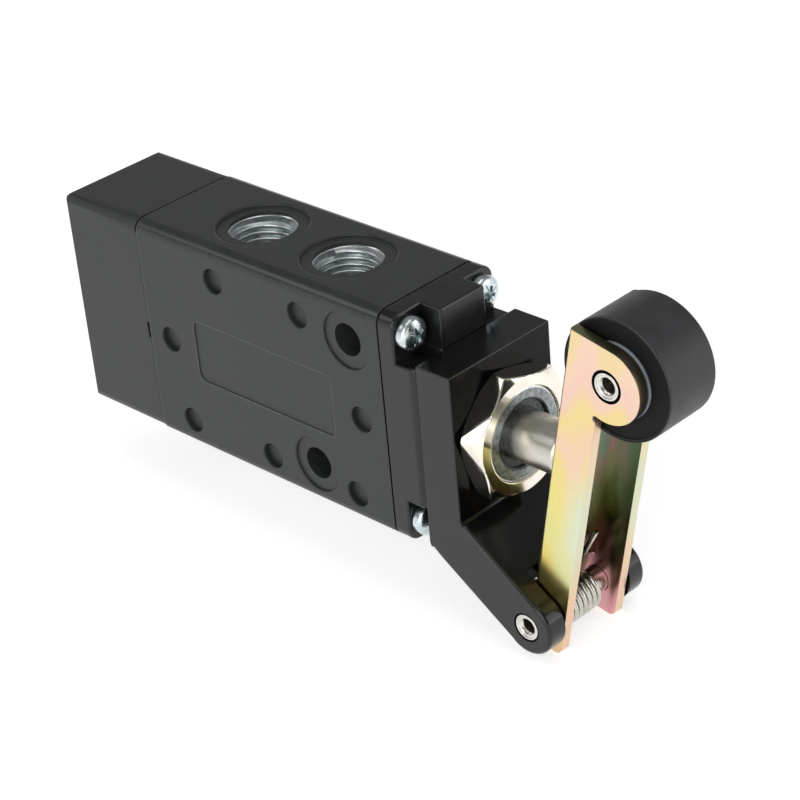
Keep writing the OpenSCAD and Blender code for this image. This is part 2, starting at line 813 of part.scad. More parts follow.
// Wire of radius r swept along a path that winds round the given axis
module wire(path, axis, r) {
    last = len(path) - 1;
    points = [for (i = [0 : last]) each wire_ring(path[i], path_dir(path, i), axis, r)];
    sides = [for (i = [0 : last - 1], k = [0 : wire_sides - 1]) let (
        a = i * wire_sides + k,
        b = i * wire_sides + (k + 1) % wire_sides
    ) each [[a, b, b + wire_sides], [a, b + wire_sides, a + wire_sides]]];
    ends = [
        [for (k = [wire_sides - 1 : -1 : 0]) k],
        [for (k = [0 : wire_sides - 1]) last * wire_sides + k]
    ];
    polyhedron(points, concat(sides, ends));
}

// Coil round the pivot pin, with one arm through the web and one into the bracket
module torsion_spring() {
    made("#c9cbc8") translate([pivot_x, 0, pivot_z]) wire(torsion_path(), [0, 1, 0], arm_wire / 2);
}

// The lower arm runs over the coil's top, and the upper arm leaves its rear to lean on the slot's upper edge
function torsion_path() = let (
    r = arm_coil_d / 2,
    lean = [sheet_t - web_back + arm_wire / 2 + slip, web_low + web_slot_len],
    a_arm = atan2(lean[0], lean[1]) - acos(r / norm(lean)),
    leave = r * [sin(a_arm), cos(a_arm)],
    tip = lean + (lean - leave) * (arm_reach - lean[1]) / (lean[1] - leave[1]),
    sweep = lever_tilt + a_arm - leg_angle + 360 * arm_turns,
    steps = arm_turns * turn_steps
) concat(
    [anchor_point(fork_depth + anchor_depth - slip), anchor_point(fork_depth / 2)],
    [for (i = [0 : steps]) let (a = leg_angle + sweep * i / steps)
        [r * sin(a), coil_start_y + (coil_end_y - coil_start_y) * i / steps, r * cos(a)]],
    [lever_point(tip[0], tip[1], coil_end_y)]
);

function lever_point(d, s, y) = [
    d * cos(lever_tilt) + s * sin(lever_tilt), y, s * cos(lever_tilt) - d * sin(lever_tilt)
];
function anchor_point(t) = let (r = arm_coil_d / 2) [
    r * sin(leg_angle) - t * cos(leg_angle), coil_start_y, r * cos(leg_angle) + t * sin(leg_angle)
];

// Compression spring with a closed turn at each end
module return_spring() {
    made("#c9cbc8") translate([cap_wall + end_gap + return_wire / 2, 0, axis_z])
        wire(return_path(), [1, 0, 0], return_wire / 2);
}

function return_path() = let (
    length = x_spool_rear - cup_flange - cap_wall - 2 * end_gap - return_wire,
    closed = return_wire + coil_gap,
    steps = return_turns * turn_steps
) [for (i = [0 : steps]) let (
    turn = i / turn_steps,
    a = 360 * turn,
    rise = (length - 2 * closed) / (return_turns - 2),
    x = turn < 1 ? turn * closed
        : turn > return_turns - 1 ? length - (return_turns - turn) * closed
        : closed + (turn - 1) * rise
) [x, return_coil_d / 2 * cos(a), return_coil_d / 2 * sin(a)]];

housing();
rear_cap();
front_cover();
cover_screws();
cap_screws();
for (i = [0 : port_count - 1]) {
    port_insert(i);
    seal_spacer(i);
}
for (i = [0 : port_count])
    spool_seal(i);
spool();
spring_cup();
return_spring();
plunger();
guide_bush();
wiper_seal();
lock_nut();
bracket();
pivot_pin();
torsion_spring();
lever();
roller_pin();
roller_hub();
roller_tyre();
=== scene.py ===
# Roller lever air valve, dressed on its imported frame. Sizes are in millimetres and multiplied by mm.
import json
import math

import bpy
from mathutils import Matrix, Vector

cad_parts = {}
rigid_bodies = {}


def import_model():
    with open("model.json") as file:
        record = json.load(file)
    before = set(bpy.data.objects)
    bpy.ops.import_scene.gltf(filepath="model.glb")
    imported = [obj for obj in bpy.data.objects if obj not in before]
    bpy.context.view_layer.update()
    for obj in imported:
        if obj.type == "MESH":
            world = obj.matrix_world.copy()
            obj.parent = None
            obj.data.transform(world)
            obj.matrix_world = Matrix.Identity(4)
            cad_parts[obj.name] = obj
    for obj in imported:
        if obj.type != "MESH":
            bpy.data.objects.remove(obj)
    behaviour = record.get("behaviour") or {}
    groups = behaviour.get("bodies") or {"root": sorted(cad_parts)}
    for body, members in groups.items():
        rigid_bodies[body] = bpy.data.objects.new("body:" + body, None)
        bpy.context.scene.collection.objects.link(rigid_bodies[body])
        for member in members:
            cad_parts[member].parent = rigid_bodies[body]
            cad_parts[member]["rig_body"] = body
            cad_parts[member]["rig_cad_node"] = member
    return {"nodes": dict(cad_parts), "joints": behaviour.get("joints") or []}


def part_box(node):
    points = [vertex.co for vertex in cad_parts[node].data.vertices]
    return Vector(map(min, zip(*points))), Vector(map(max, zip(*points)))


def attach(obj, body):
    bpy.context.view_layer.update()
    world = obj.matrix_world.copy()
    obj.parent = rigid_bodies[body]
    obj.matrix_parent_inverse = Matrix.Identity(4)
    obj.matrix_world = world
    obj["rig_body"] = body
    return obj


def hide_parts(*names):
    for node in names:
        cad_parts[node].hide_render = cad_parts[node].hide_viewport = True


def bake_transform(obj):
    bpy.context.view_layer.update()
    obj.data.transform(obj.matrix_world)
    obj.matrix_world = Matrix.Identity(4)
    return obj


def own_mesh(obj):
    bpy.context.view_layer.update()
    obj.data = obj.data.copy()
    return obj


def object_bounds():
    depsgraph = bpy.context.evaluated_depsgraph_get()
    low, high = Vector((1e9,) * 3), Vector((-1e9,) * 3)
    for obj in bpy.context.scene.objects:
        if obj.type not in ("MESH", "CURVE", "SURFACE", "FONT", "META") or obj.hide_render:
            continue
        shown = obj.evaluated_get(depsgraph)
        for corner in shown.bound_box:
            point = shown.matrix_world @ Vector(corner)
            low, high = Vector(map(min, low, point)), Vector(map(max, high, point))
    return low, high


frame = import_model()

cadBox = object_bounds()
nodes = frame["nodes"]
joints = {joint["name"]: joint for joint in frame["joints"]}
mm = 0.001
near, slack = 0.02, 0.05  # how close counts as touching, in millimetres
pivot = Vector(joints["lever_pivot"]["pos_m"])
rollerAxis = Vector(joints["roller_spin"]["pos_m"])
bpy.ops.object.select_all(action="DESELECT")
print("frame loaded:", len(nodes), "nodes")


# Selecting and finishing

def only(piece):
    bpy.ops.object.select_all(action="DESELECT")
    piece.select_set(True)
    bpy.context.view_layer.objects.active = piece


def editing(piece, kind="EDGE"):
    only(piece)
    bpy.ops.object.mode_set(mode="EDIT")
    bpy.ops.mesh.select_mode(type=kind)
    bpy.ops.mesh.select_all(action="DESELECT")


def done():
    bpy.ops.object.mode_set(mode="OBJECT")


# Selects points by a test of their place in millimetres, and stays in edit mode
def pickPoints(piece, test):
    editing(piece, "VERT")
    done()
    for point in piece.data.vertices:
        point.select = bool(test(point.co / mm))
    bpy.ops.object.mode_set(mode="EDIT")


# Tells an outer edge from an inner corner: the smaller face beside it lies behind the larger one
def standsOut(faces):
    small, large = sorted(faces, key=lambda face: face.area)
    return (small.center - large.center).dot(large.normal) < 0


# Rounds the sharp outer edges whose middle passes a test
def softenEdges(piece, width, rounds, test, sharp=32):
    editing(piece, "EDGE")
    bpy.ops.mesh.edges_select_sharp(sharpness=math.radians(sharp))
    done()
    points = piece.data.vertices
    beside = {}
    for face in piece.data.polygons:
        for key in face.edge_keys:
            beside.setdefault(key, []).append(face)
    chosen = []
    for edge in piece.data.edges:
        middle = (points[edge.vertices[0]].co + points[edge.vertices[1]].co) / (2 * mm)
        if edge.select and test(middle) and len(beside[edge.key]) == 2 and standsOut(beside[edge.key]):
            chosen.append(edge.index)
    editing(piece, "EDGE")
    done()
    for index in chosen:
        piece.data.edges[index].select = True
    bpy.ops.object.mode_set(mode="EDIT")
    bpy.ops.mesh.bevel(offset=width * mm, segments=rounds, profile=0.5, affect="EDGES", clamp_overlap=False)
    done()
    print("  rounded", len(chosen), "edges of", piece.name)


def applyAll(piece):
    only(piece)
    for modifier in list(piece.modifiers):
        bpy.ops.object.modifier_apply(modifier=modifier.name)


# Smooth across small angles, with flat faces kept flat
def smooth(piece, angle=32):
    only(piece)
    bpy.ops.object.shade_smooth_by_angle(angle=math.radians(angle))
    weighted = piece.modifiers.new("flatFaces", "WEIGHTED_NORMAL")
    weighted.keep_sharp = True
    applyAll(piece)


def outward(piece):
    editing(piece, "VERT")
    bpy.ops.mesh.select_all(action="SELECT")
    bpy.ops.mesh.remove_doubles(threshold=0.001 * mm)
    bpy.ops.mesh.normals_make_consistent(inside=False)
    done()


# Turns and moves a piece, then puts its place into its mesh
def settle(piece, place=(0, 0, 0), turn=(0, 0, 0)):
    only(piece)
    piece.location = place
    piece.rotation_euler = [math.radians(angle) for angle in turn]
    bpy.ops.object.transform_apply(location=True, rotation=True, scale=True)


# The two corners of a node's box in millimetres
def boxOf(node):
    return [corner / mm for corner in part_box(node)]


# A copy of a CAD node: merged, with its flat faces joined up
def copyOf(node, name):
    only(nodes[node])
    bpy.ops.object.duplicate()
    piece = bpy.context.object
    piece.name = name
    piece.parent = None
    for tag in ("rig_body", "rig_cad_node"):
        del piece[tag]
    bpy.ops.mesh.customdata_custom_splitnormals_clear()
    editing(piece, "VERT")
    bpy.ops.mesh.select_all(action="SELECT")
    bpy.ops.mesh.remove_doubles(threshold=0.0005 * mm)
    bpy.ops.mesh.dissolve_limited(angle_limit=math.radians(0.3))
    done()
    piece.data.materials.clear()
    return piece


def twin(piece, name):
    only(piece)
    bpy.ops.object.duplicate()
    other = bpy.context.object
    other.name = name
    return other


def joined(name, *pieces):
    bpy.ops.object.select_all(action="DESELECT")
    for piece in pieces:
        piece.select_set(True)
    bpy.context.view_layer.objects.active = pieces[0]
    bpy.ops.object.join()
    pieces[0].name = name
    return pieces[0]


def carve(piece, tool, kind="DIFFERENCE"):
    cut = piece.modifiers.new("carve", "BOOLEAN")
    cut.operation = kind
    cut.solver = "EXACT"
    cut.object = tool
    applyAll(piece)
    bpy.data.objects.remove(tool)


# A ring is drawn and extruded from point to point of a half outline of (radius, height) pairs
def turned(name, outline, sides=72, bevel=0.0, rounds=3):
    radius, height = outline[0]
    bpy.ops.object.select_all(action="DESELECT")
    bpy.ops.mesh.primitive_circle_add(vertices=sides, radius=radius * mm, location=(0, 0, height * mm))
    piece = bpy.context.object
    piece.name = name
    settle(piece, piece.location.copy())
    editing(piece, "VERT")
    bpy.ops.mesh.select_all(action="SELECT")
    for nextRadius, nextHeight in outline[1:]:
        rise = (nextHeight - height) * mm
        bpy.ops.mesh.extrude_region_move(TRANSFORM_OT_translate={"value": (0, 0, rise)})
        spread = nextRadius / radius
        bpy.ops.transform.resize(value=(spread, spread, 1), center_override=(0, 0, nextHeight * mm))
        radius, height = nextRadius, nextHeight
    done()
    outward(piece)
    editing(piece, "EDGE")
    bpy.ops.mesh.select_non_manifold(extend=False, use_wire=False, use_multi_face=False,
                                     use_non_contiguous=False, use_verts=False)
    bpy.ops.mesh.fill_holes(sides=0)
    done()
    outward(piece)
    if bevel:
        edges = piece.modifiers.new("edges", "BEVEL")
        edges.width = bevel * mm
        edges.segments = rounds
        edges.limit_method = "ANGLE"
        edges.angle_limit = math.radians(30)
        applyAll(piece)
    return piece


# Points of an arc for an outline, from one angle to the other
def arcPoints(middle, radius, start, end, steps=6):
    points = []
    for step in range(steps + 1):
        angle = math.radians(start + (end - start) * step / steps)
        points.append((middle[0] + radius * math.cos(angle), middle[1] + radius * math.sin(angle)))
    return points


def dress(piece, material, body, slot, *replaced):
    piece.data.materials.clear()
    piece.data.materials.append(material)
    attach(piece, body)
    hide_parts(*replaced)


# Further materials for some of a piece's faces, numbered on from its first
def addLooks(piece, *materials):
    for material in materials:
        piece.data.materials.append(material)


# Materials

def tone(code):
    parts = [int(code[i:i + 2], 16) / 255 for i in (1, 3, 5)]
    return [p / 12.92 if p <= 0.04045 else ((p + 0.055) / 1.055) ** 2.4 for p in parts] + [1]


def newMaterial(name, **sockets):
    material = bpy.data.materials.new(name)
    material.use_nodes = True
    tree = material.node_tree
    shader = tree.nodes["Principled BSDF"]
    for socket, value in sockets.items():
        shader.inputs[socket.replace("_", " ")].default_value = value
    return material, tree, shader


def put(tree, kind, inputs=None, **settings):
    node = tree.nodes.new(kind)
    for key, value in settings.items():
        setattr(node, key, value)
    for key, value in (inputs or {}).items():
        node.inputs[key].default_value = value
    return node


# Object coordinates, turned and stretched for a pattern
def coordinates(tree, turn=(0, 0, 0), stretch=(1, 1, 1), place=(0, 0, 0)):
    source = put(tree, "ShaderNodeTexCoord")
    mapping = put(tree, "ShaderNodeMapping", {
        "Location": place, "Rotation": [math.radians(a) for a in turn], "Scale": stretch})
    tree.links.new(source.outputs["Object"], mapping.inputs["Vector"])
    return mapping.outputs["Vector"]


# Noise with grains of a given size in millimetres
def grain(tree, vector, size, detail=3, rough=0.55):
    noise = put(tree, "ShaderNodeTexNoise", {"Scale": 1 / (size * mm), "Detail": detail, "Roughness": rough})
    tree.links.new(vector, noise.inputs["Vector"])
    return noise.outputs[0]


def ramp(tree, factor, *stops, **settings):
    node = put(tree, "ShaderNodeValToRGB")
    band = node.color_ramp
    for key, value in settings.items():
        setattr(band, key, value)
    while len(band.elements) < len(stops):
        band.elements.new(0.5)
    for element, (place, colour) in zip(band.elements, stops):
        element.position = place
        element.color = tone(colour) if isinstance(colour, str) else (colour, colour, colour, 1)
    tree.links.new(factor, node.inputs["Fac"])
    return node.outputs["Color"]


def mixColour(tree, factor, first, second, kind="MIX"):
    node = put(tree, "ShaderNodeMix", data_type="RGBA", blend_type=kind)
    for socket, value in ((node.inputs[0], factor), (node.inputs[6], first), (node.inputs[7], second)):
        if isinstance(value, (int, float, list)):
            socket.default_value = value
        else:
            tree.links.new(value, socket)
    return node.outputs[2]


def bump(tree, shader, height, depth):
    node = put(tree, "ShaderNodeBump", {"Strength": 1.0, "Distance": depth * mm})
    tree.links.new(height, node.inputs["Height"])
    tree.links.new(node.outputs["Normal"], shader.inputs["Normal"])


# Moulded plastic: fine grain, slow mottling and uneven gloss
def mouldedPlastic(name, look):
    material, tree, shader = newMaterial(name, IOR=look.get("ior", 1.5))
    where = coordinates(tree)
    mottle = grain(tree, where, look["mottle"], detail=4)
    tree.links.new(ramp(tree, mottle, (0.3, look["dark"]), (0.72, look["light"])),
                   shader.inputs["Base Color"])
    tree.links.new(ramp(tree, mottle, (0.25, look["gloss"][0]), (0.75, look["gloss"][1])),
                   shader.inputs["Roughness"])
    bump(tree, shader, grain(tree, where, look["grain"], detail=2), look["depth"])
    return material


# Plated or bare metal: tool marks stretched along one direction over a cloudy tone
def metal(name, look):
    material, tree, shader = newMaterial(name, Metallic=1.0)
    where = coordinates(tree)
    brushed = coordinates(tree, look.get("turn", (0, 0, 0)), look.get("stretch", (1, 1, 1)))
    clouds = grain(tree, where, look["cloud"], detail=4)
    tree.links.new(ramp(tree, clouds, (0.3, look["dark"]), (0.7, look["light"])),
                   shader.inputs["Base Color"])
    marks = grain(tree, brushed, look["marks"])
    tree.links.new(ramp(tree, marks, (0.3, look["gloss"][0]), (0.75, look["gloss"][1])),
                   shader.inputs["Roughness"])
    bump(tree, shader, marks, look["depth"])
    return material


plasticLooks = {
    "body": dict(dark="#2a2d2c", light="#353837", gloss=(0.4, 0.54), mottle=9, grain=0.22, depth=0.012,
                 ior=1.46),
    "cap": dict(dark="#282b2a", light="#323534", gloss=(0.4, 0.54), mottle=9, grain=0.22, depth=0.012,
                ior=1.48),
    "rounding": dict(dark="#2a2d2c", light="#353837", gloss=(0.22, 0.3), mottle=9, grain=0.22, depth=0.004,
                     ior=1.46),
    "cover": dict(dark="#101111", light="#171818", gloss=(0.2, 0.32), mottle=6, grain=0.3, depth=0.006),
    "bracket": dict(dark="#0c0d0d", light="#131414", gloss=(0.15, 0.26), mottle=6, grain=0.45, depth=0.005),
    # the plate's front face, darkened as painted shade
    "plate": dict(dark="#080909", light="#0d0e0e", gloss=(0.18, 0.28), mottle=6, grain=0.45, depth=0.005,
                  ior=1.22),
    # a lighter plastic that paints highlights on edges
    "paintedHighlight": dict(dark="#4a4c4c", light="#585a5a", gloss=(0.2, 0.3), mottle=6, grain=0.45, depth=0.004),
    # near-black dull plastic for dark joint lines and for painted shade in slots, holes and gaps
    "slot": dict(dark="#080808", light="#0d0d0d", gloss=(0.6, 0.8), mottle=6, grain=0.45, depth=0.01,
                 ior=1.1),
    # one black rubber in two tones: the tread lighter as painted light, the sides darker as painted shade
    "paintedLitTread": dict(dark="#2b2c2e", light="#37383a", gloss=(0.42, 0.58), mottle=3, grain=0.16, depth=0.014),
    "paintedShadeTyreSide": dict(dark="#080809", light="#0e0e0f", gloss=(0.55, 0.75), mottle=3, grain=0.16, depth=0.014,
                     ior=1.3),
    "hub": dict(dark="#757d84", light="#878f96", gloss=(0.36, 0.5), mottle=4, grain=0.3, depth=0.008),
    "seal": dict(dark="#111111", light="#1c1c1c", gloss=(0.5, 0.7), mottle=3, grain=0.2, depth=0.01),
    "spacer": dict(dark="#c9c2ae", light="#d9d3c1", gloss=(0.4, 0.55), mottle=5, grain=0.3, depth=0.01),
    "cup": dict(dark="#cfcfc9", light="#dcdcd7", gloss=(0.4, 0.55), mottle=5, grain=0.3, depth=0.01),
}
plastics = {name: mouldedPlastic(name + "Plastic", look) for name, look in plasticLooks.items()}

metalLooks = {
    "screw": dict(dark="#b9c6cc", light="#dfe8ea", gloss=(0.16, 0.34), cloud=1.2, marks=0.5, depth=0.012),
    "insert": dict(dark="#cfd6d7", light="#eef3f3", gloss=(0.26, 0.34), cloud=2.0, marks=0.9, depth=0.001),
    "bush": dict(dark="#6f7576", light="#a6acad", gloss=(0.28, 0.42), cloud=0.8, marks=0.5, depth=0.008),
    # darker and lighter copies of the bush metal, for painted shade in the recess and a painted highlight on
    # the chamfer
    "bushRecessShade": dict(dark="#34383a", light="#565c5d", gloss=(0.28, 0.42), cloud=0.8, marks=0.5, depth=0.008),
    "bushHighlight": dict(dark="#d3d6d4", light="#f0f2f0", gloss=(0.16, 0.26), cloud=1.2, marks=0.5, depth=0.002),
    "pin": dict(dark="#cdcac3", light="#e6e3dc", gloss=(0.18, 0.3), cloud=1.5, marks=0.4, depth=0.002),
    "nut": dict(dark="#ece5d8", light="#fbf6ea", gloss=(0.06, 0.14), cloud=6.0, marks=2.0, depth=0.002),
    "steel": dict(dark="#c6c3ba", light="#dcd9d0", gloss=(0.28, 0.4), cloud=5.0, marks=0.25, depth=0.003,
                  stretch=(0.05, 1, 1)),
    "spring": dict(dark="#b4b1a9", light="#d3d0c9", gloss=(0.1, 0.2), cloud=2.0, marks=0.3, depth=0.002),
    "spool": dict(dark="#9aa0a4", light="#b9bfc3", gloss=(0.2, 0.34), cloud=4.0, marks=0.3, depth=0.004),
}
metals = {name: metal(name + "Metal", look) for name, look in metalLooks.items()}
print("materials made")


# Housing and rear cap

housingSizes = {"joint": 0.35, "rim": 0.3, "mark": 0.2, "rounding": 2.6, "endBand": 2.3,
                "labelZ": 14.05, "labelHalf": (18.6, 6.6)}


def makeHousing():
    s = housingSizes
    lo, hi = boxOf("housing")
    side, top, low = hi.y, hi.z, lo.z
    piece = copyOf("housing", "housingShell")

    def atEnd(p):
        band = s["endBand"]
        outer = abs(abs(p.y) - side) < band or p.z > top - band or p.z < low + band
        return outer and (abs(p.x - lo.x) < near or abs(p.x - hi.x) < near)

    def atRim(p):
        return abs(p.z - top) < near or abs(p.z - low) < near or abs(abs(p.y) - side) < near

    def atLabel(p):
        halfL, halfH = s["labelHalf"]
        return p.y < 0 and abs(p.x - (lo.x + hi.x) / 2) < halfL and abs(p.z - s["labelZ"]) < halfH

    softenEdges(piece, s["joint"], 3, atEnd)
    softenEdges(piece, s["rim"], 3, lambda p: atRim(p) and not atLabel(p) and not atEnd(p))
    softenEdges(piece, s["mark"], 2, lambda p: atLabel(p) and atRim(p))
    smooth(piece)
    dress(piece, plastics["body"], "valve_body", "body_plastic", "housing")
    # glossy top roundings, a painted highlight on the rim round the label and at the rear joint, a dark front
    # joint
    addLooks(piece, plastics["rounding"], plastics["paintedHighlight"], plastics["slot"])
    for face in piece.data.polygons:
        middle, normal = face.center / mm, face.normal
        atFront = middle.x > hi.x - s["joint"] and atEnd(Vector((hi.x, middle.y, middle.z)))
        atRear = middle.x < lo.x + s["joint"]
        atTop = middle.z > top - s["rounding"] - slack
        if atLabel(middle) and middle.y < s["mark"] - side and 0.2 < -normal.y < 0.95:
            face.material_index = 2
        elif atFront and 0.6 < normal.x < 0.99:
            face.material_index = 3
        elif atRear and normal.y < -0.6 and -0.6 < normal.x < -0.1:
            face.material_index = 2
        elif atTop and abs(normal.x) < 0.3 and abs(normal.y) > 0.1 and normal.z > 0.1:
            face.material_index = 1


capSizes = {"jointDepth": 1, "jointBand": 0.5, "pryW": 0.6, "pryL": 3, "pryDepth": 0.7}


def makeRearCap():
    s = capSizes
    lo, hi = boxOf("rear_cap")
    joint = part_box("housing")[0].x / mm
    middleZ, halfZ = (lo.z + hi.z) / 2, (hi.z - lo.z) / 2
    jointW, band, corner = [housingSizes[size] for size in ("joint", "endBand", "rounding")]
    piece = copyOf("rear_cap", "rearCapShell")

    def atJointEdge(p):
        outer = abs(p.y) > hi.y - band or abs(p.z - middleZ) > halfZ - band
        return outer and joint - s["jointDepth"] < p.x < joint + slack

    # distance inside the cap's rounded outline
    def fromOutline(p):
        away = Vector((abs(p.y) - hi.y + corner, abs(p.z - middleZ) - halfZ + corner))
        return corner - Vector((max(away.x, 0), max(away.y, 0))).length - min(max(away), 0)

    softenEdges(piece, jointW, 3, atJointEdge)
    softenEdges(piece, housingSizes["rim"], 3, lambda p: abs(p.x - lo.x) < slack)
    smooth(piece)
    dress(piece, plastics["cap"], "valve_body", "cap_plastic", "rear_cap")
    # the upper part of the joint is dark, and the pry slot is darkened as painted shade
    addLooks(piece, plastics["slot"])
    for face in piece.data.polygons:
        middle, normal = face.center / mm, face.normal
        inside = fromOutline(middle)
        inJoint = joint - jointW < middle.x < joint + slack and inside < s["jointBand"]
        inPry = (joint - s["pryW"] - slack < middle.x < joint + slack and middle.y < s["pryDepth"] - hi.y
                 and abs(middle.z - housingSizes["labelZ"]) < s["pryL"] / 2 + slack)
        if inJoint and 0.2 < normal.x < 0.99 and normal.z > 0.05 or inPry and inside > near:
            face.material_index = 1


makeHousing()
makeRearCap()
print("body done")


# Front cover and bracket

# Paints a highlight on the narrow bands of edges that face forward and up, as a second, lighter material
def paintHighlightEdges(piece, test):
    piece.data.materials.append(plastics["paintedHighlight"])
    for face in piece.data.polygons:
        tilted = 0.5 < face.normal.x < 0.9 and 0.4 < face.normal.z < 0.9
        if tilted and abs(face.normal.y) < 0.2 and test(face.center / mm):
            face.material_index = len(piece.data.materials) - 1


coverSizes = {"edge": 0.5, "back": 0.5, "innerR": 12.5, "litAbove": 14}


def makeCover():
    s = coverSizes
    lo, hi = boxOf("front_cover")
    piece = copyOf("front_cover", "frontCoverShell")

    def outside(p):
        return Vector((p.y, p.z - (lo.z + hi.z) / 2)).length > s["innerR"]

    softenEdges(piece, s["edge"], 3, lambda p: outside(p) and p.x > lo.x + s["back"])
    softenEdges(piece, housingSizes["joint"], 3, lambda p: outside(p) and abs(p.x - lo.x) < near)
    smooth(piece)
    dress(piece, plastics["cover"], "valve_body", "cover_plastic", "front_cover")
    # the upper front edges get a painted highlight
    paintHighlightEdges(piece, lambda p: p.z > s["litAbove"])


bracketSizes = {"plateEdge": 0.3, "plateFront": 35.96, "plateFlat": 0.1, "litBand": 0.5, "legEdge": 0.8,
                "legTop": -7, "clear": 1, "cheek": 3, "pinHoleR": 3.4, "pinRim": 0.35}


def makeBracket():
    s = bracketSizes
    hi = boxOf("bracket")[1]
    front = s["plateFront"]
    piece = copyOf("bracket", "bracketShell")

    def fromPin(p):
        return Vector((p.x - pivot.x / mm, p.z - pivot.z / mm)).length

    def onSide(p):
        return abs(abs(p.y) - hi.y) < near

    def onLeg(p):
        return onSide(p) and fromPin(p) > s["pinHoleR"] and (p.x > front + s["clear"] or p.z < s["legTop"])

    def onPlate(p):
        return p.z > 0 and (onSide(p) or abs(p.z - hi.z) < near)

    softenEdges(piece, s["legEdge"], 4, onLeg)
    softenEdges(piece, s["plateEdge"], 3, onPlate)
    softenEdges(piece, s["pinRim"], 2, lambda p: onSide(p) and fromPin(p) < s["pinHoleR"])
    smooth(piece)
    dress(piece, plastics["bracket"], "valve_body", "bracket_black", "bracket")
    # the top front edges get a painted highlight
    paintHighlightEdges(piece, lambda p: p.z > hi.z - s["litBand"])
    # the slot between the cheeks and the rims of the pin holes are dull and darkened as painted shade, and
    # the plate's front is darkened as painted shade
    addLooks(piece, plastics["slot"], plastics["plate"])
    for face in piece.data.polygons:
        middle, normal = face.center / mm, face.normal
        between = middle.x > front + s["clear"] and abs(middle.y) < hi.y - s["cheek"]
        inSlot = between and normal.x > 0.3 and normal.z < 0
        inHole = fromPin(middle) < s["pinHoleR"] and abs(normal.y) < 0.95
        if inSlot or inHole:
            face.material_index = 2
        elif normal.x > 0.95 and abs(middle.x - front) < s["plateFlat"]:
            face.material_index = 3


makeCover()
makeBracket()
print("cover and bracket done")


# Screws: pan heads with a cross recess and four small ticks between its arms

screwSizes = {"headD": 6.3, "headH": 2.6, "shankD": 3.2, "tipR": 0.5, "tipCut": (0.4, 0.5),
              "seatCut": (0.2, 0.25), "shoulder": (0.1, 0.28), "sideDrop": 0.75, "crownIn": 0.35,
              "crownSteps": 8, "sides": 64, "crossL": 3.7, "crossW": 0.85, "crossDepth": 1.3,
              "crossTaper": 0.55, "tickL": 4.6, "tickW": 0.22, "tickDepth": 0.36}


def crossBar(length, width, depth, taper, top, turn):
    bpy.ops.object.select_all(action="DESELECT")
    bpy.ops.mesh.primitive_cube_add(size=1)
    bar = bpy.context.object
    over = 0.5  # how far the bar stands out of the head
    bar.scale = (length * mm, width * mm, (depth + over) * mm)
    bar.location.z = (top + (over - depth) / 2) * mm
    settle(bar, bar.location.copy())
    pickPoints(bar, lambda p: p.z < top - depth / 2)
    bpy.ops.transform.resize(value=(taper, taper, 1), center_override=(0, 0, (top - depth) * mm))
    done()
    settle(bar, (0, 0, 0), (0, 0, turn))
    return bar


def makeScrew(length):
    s = screwSizes
    headR, shankR = s["headD"] / 2, s["shankD"] / 2
    crownR = s["headD"]
    crown = []
    for step in range(s["crownSteps"]):
        r = (headR - s["crownIn"]) * (1 - step / s["crownSteps"])
        crown.append((r, s["headH"] - crownR + math.sqrt(crownR ** 2 - r ** 2)))
    top = crown[0][1]
    tipIn, tipUp = s["tipCut"]
    seatIn, seatUp = s["seatCut"]
    shoulderIn, shoulderDrop = s["shoulder"]
    outline = [(s["tipR"], -length), (shankR - tipIn, -length), (shankR, tipUp - length), (shankR, 0),
               (headR - seatIn, 0), (headR, seatUp), (headR, top - s["sideDrop"]),
               (headR - shoulderIn, top - shoulderDrop)]
    screw = turned("screw", outline + crown, s["sides"])
    for turn in (0, 90):
        carve(screw, crossBar(s["crossL"], s["crossW"], s["crossDepth"], s["crossTaper"], s["headH"], turn))
    for turn in (45, 135):
        carve(screw, crossBar(s["tickL"], s["tickW"], s["tickDepth"], 1.0, s["headH"], turn))
    return screw


# Four copies at the corners of a node, with the heads at the front or the rear
def makeScrews(node, name, front, turns):
    lo, hi = boxOf(node)
    headR, headH = screwSizes["headD"] / 2, screwSizes["headH"]
    screw = makeScrew(hi.x - lo.x - headH)
    seat = hi.x - headH if front else lo.x + headH
    middle = (lo.z + hi.z) / 2
    y, z = hi.y - headR, hi.z - headR - middle
    copies = []
    places = [(-y, z), (y, z), (-y, -z), (y, -z)]
    for number, (place, turn) in enumerate(zip(places, turns), 1):
        one = twin(screw, f"{name}{number}")
        settle(one, (0, 0, 0), (0, 0, turn))
        settle(one, (seat * mm, place[0] * mm, (middle + place[1]) * mm), (0, 90 if front else -90, 0))
        copies.append(one)
    bpy.data.objects.remove(screw)
    piece = joined(name, *copies)
    smooth(piece)
    dress(piece, metals["screw"], "valve_body", "screw_zinc", node)


makeScrews("cover_screws", "coverScrewSet", True, (20, 65, 140, 110))
makeScrews("cap_screws", "capScrewSet", False, (35, 80, 10, 120))
print("screws done")


# Port inserts: a sleeve with a pipe thread inside

insertSizes = {"majorD": 13.16, "boreD": 11.44, "pitch": 1.337, "crest": 0.44, "crestR": 0.2, "root": 0.15,
               "sink": 0.12, "leadIn": 0.35, "sides": 72, "steps": 56, "endSides": 12, "turnEach": 40,
               "aboveZ": 10}


